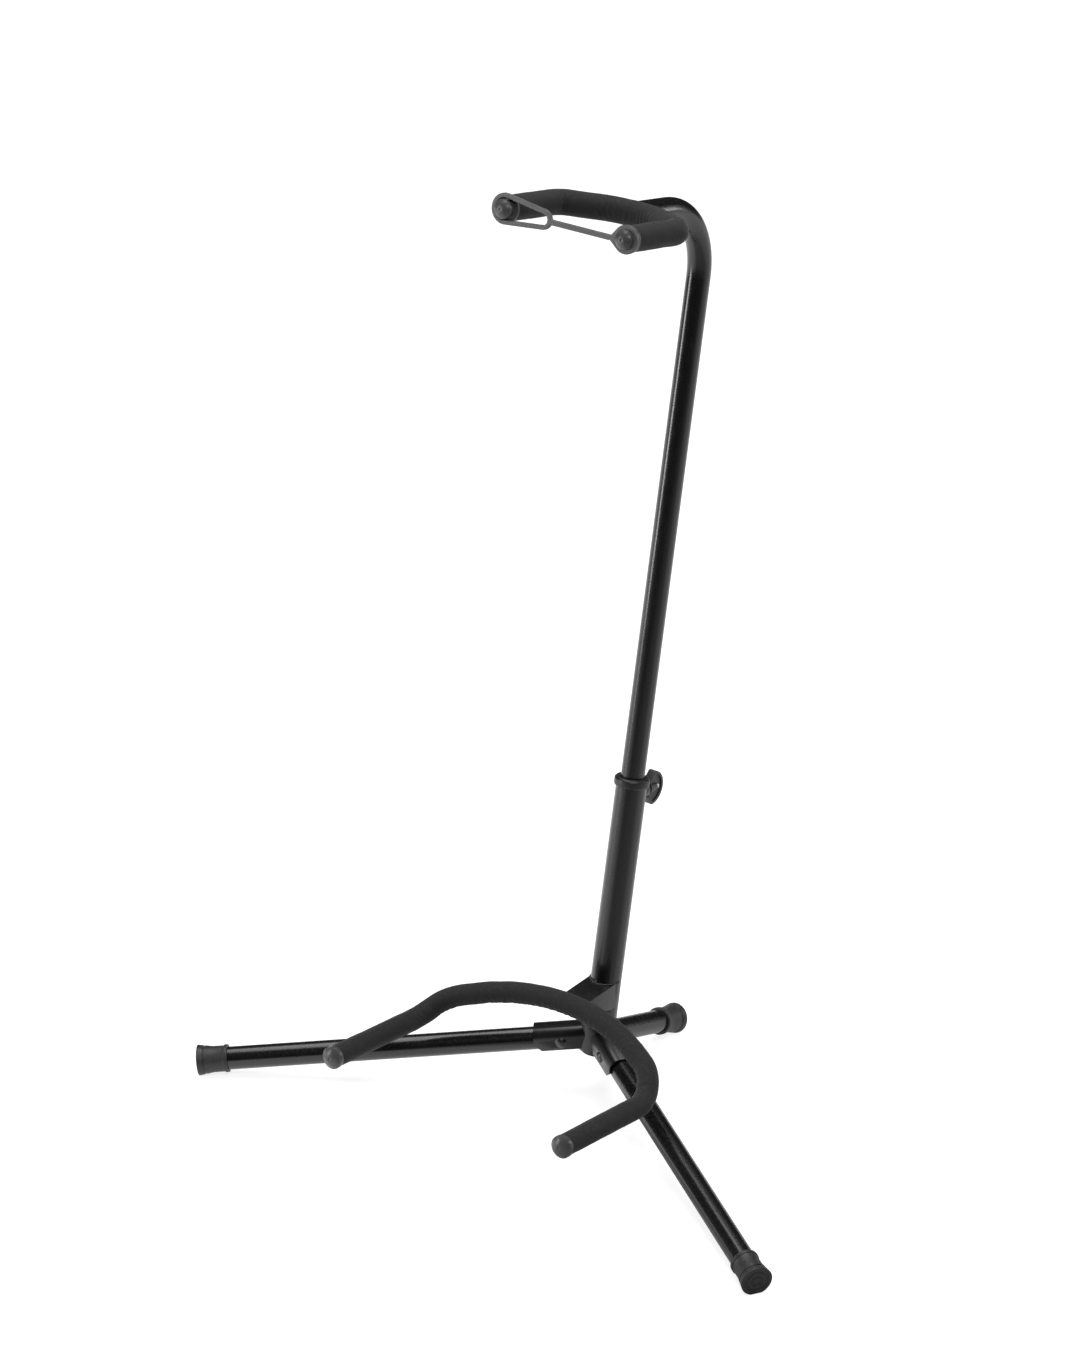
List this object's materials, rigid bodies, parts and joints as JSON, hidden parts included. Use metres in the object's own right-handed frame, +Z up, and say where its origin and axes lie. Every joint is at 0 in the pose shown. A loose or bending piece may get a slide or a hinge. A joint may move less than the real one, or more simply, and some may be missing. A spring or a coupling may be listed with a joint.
{
  "type": "guitar stand",
  "caption": "Free-standing tubular guitar stand: tripod base with folding front legs, height-adjustable mast, foam-covered body cradle, and a foam-covered neck yoke with a rubber strap.",
  "frame": {"origin": "on the floor, in the middle of the stand's box in plan", "axes": "+Z up, -Y the front, where the guitar leans in, +X the stand's right side seen from behind the guitar"},
  "size_m": [0.5628, 0.3519, 0.766],
  "materials": {
    "tube_paint": "semi-gloss black enamel on steel tube",
    "bracket_paint": "semi-gloss black enamel on pressed steel",
    "rod_steel": "bent steel rod, hidden in foam",
    "foam": "matte black closed-cell foam",
    "cap_rubber": "satin black rubber",
    "strap_rubber": "smooth dark grey rubber",
    "foot_rubber": "satin black rubber",
    "plain_steel": "bright steel",
    "rivet_steel": "black-plated steel",
    "moulded_plastic": "moulded black plastic"
  },
  "bodies": {
    "base": {"lower_tube": "tube_paint", "lower_tube_plug": "moulded_plastic", "hub_bracket": "bracket_paint", "rear_leg_tube": "tube_paint", "rear_foot": "foot_rubber", "foot_insert_rear": "plain_steel", "collar_bushing": "moulded_plastic", "clamp_boss": "bracket_paint", "cradle_bracket": "bracket_paint", "cradle_rod": "rod_steel", "cradle_foam_left": "foam", "cradle_foam_right": "foam", "cradle_cap_left": "cap_rubber", "cradle_cap_right": "cap_rubber", "stop_rivet": "rivet_steel", "leg_pivot_rivet_left": "rivet_steel", "leg_pivot_rivet_right": "rivet_steel"},
    "left_leg": {"front_leg_tube_left": "tube_paint", "front_foot_left": "foot_rubber", "foot_insert_left": "plain_steel", "leg_spacer_left": "plain_steel"},
    "right_leg": {"front_leg_tube_right": "tube_paint", "front_foot_right": "foot_rubber", "foot_insert_right": "plain_steel", "leg_spacer_right": "plain_steel"},
    "glide": {"mast_glide": "moulded_plastic"},
    "mast": {"upper_tube": "tube_paint", "yoke_rod": "rod_steel", "yoke_foam_left": "foam", "yoke_foam_right": "foam", "yoke_cap_left": "cap_rubber", "yoke_cap_right": "cap_rubber", "strap_anchor": "strap_rubber"},
    "strap": {"strap_band": "strap_rubber"},
    "clamp_pad": {"clamp_pad": "moulded_plastic"},
    "clamp_screw": {"clamp_screw": "plain_steel", "wing_grip": "moulded_plastic"}
  },
  "joints": [
    {"name": "right_leg_fold", "type": "hinge", "parent": "base", "child": "right_leg", "pos_m": [0.02513, 0.01319, 0.04387], "axis": [0.5388, 0.8425, 0], "range_deg": [0, 77]},
    {"name": "left_leg_fold", "type": "hinge", "parent": "base", "child": "left_leg", "pos_m": [-0.02513, 0.01319, 0.04387], "axis": [0.5388, -0.8425, 0], "range_deg": [0, 77]},
    {"name": "mast_height", "type": "slide", "parent": "base", "child": "glide", "axis": [0, 0.2173, 0.9761], "range_m": [-0.058, 0.04]},
    {"name": "mast_swivel", "type": "hinge", "parent": "glide", "child": "mast", "pos_m": [0, 0.05468, 0.16132], "axis": [0, 0.2173, 0.9761], "continuous": true},
    {"name": "strap_opening", "type": "hinge", "parent": "mast", "child": "strap", "pos_m": [0.0407, -0.00722, 0.75444], "axis": [0, 0.2173, 0.9761], "range_deg": [0, 110]},
    {"name": "pad_travel", "type": "slide", "parent": "base", "child": "clamp_pad", "axis": [0, 0.9761, -0.2173], "range_m": [0, 0.002]},
    {"name": "clamp_turn", "type": "hinge", "parent": "clamp_pad", "child": "clamp_screw", "pos_m": [0, 0.09527, 0.24244], "axis": [0, -0.9761, 0.2173], "range_deg": [0, 720]}
  ],
  "couplings": [
    {"joint": "clamp_turn", "follows": "pad_travel", "rad_per_m": 6283.2}
  ]
}
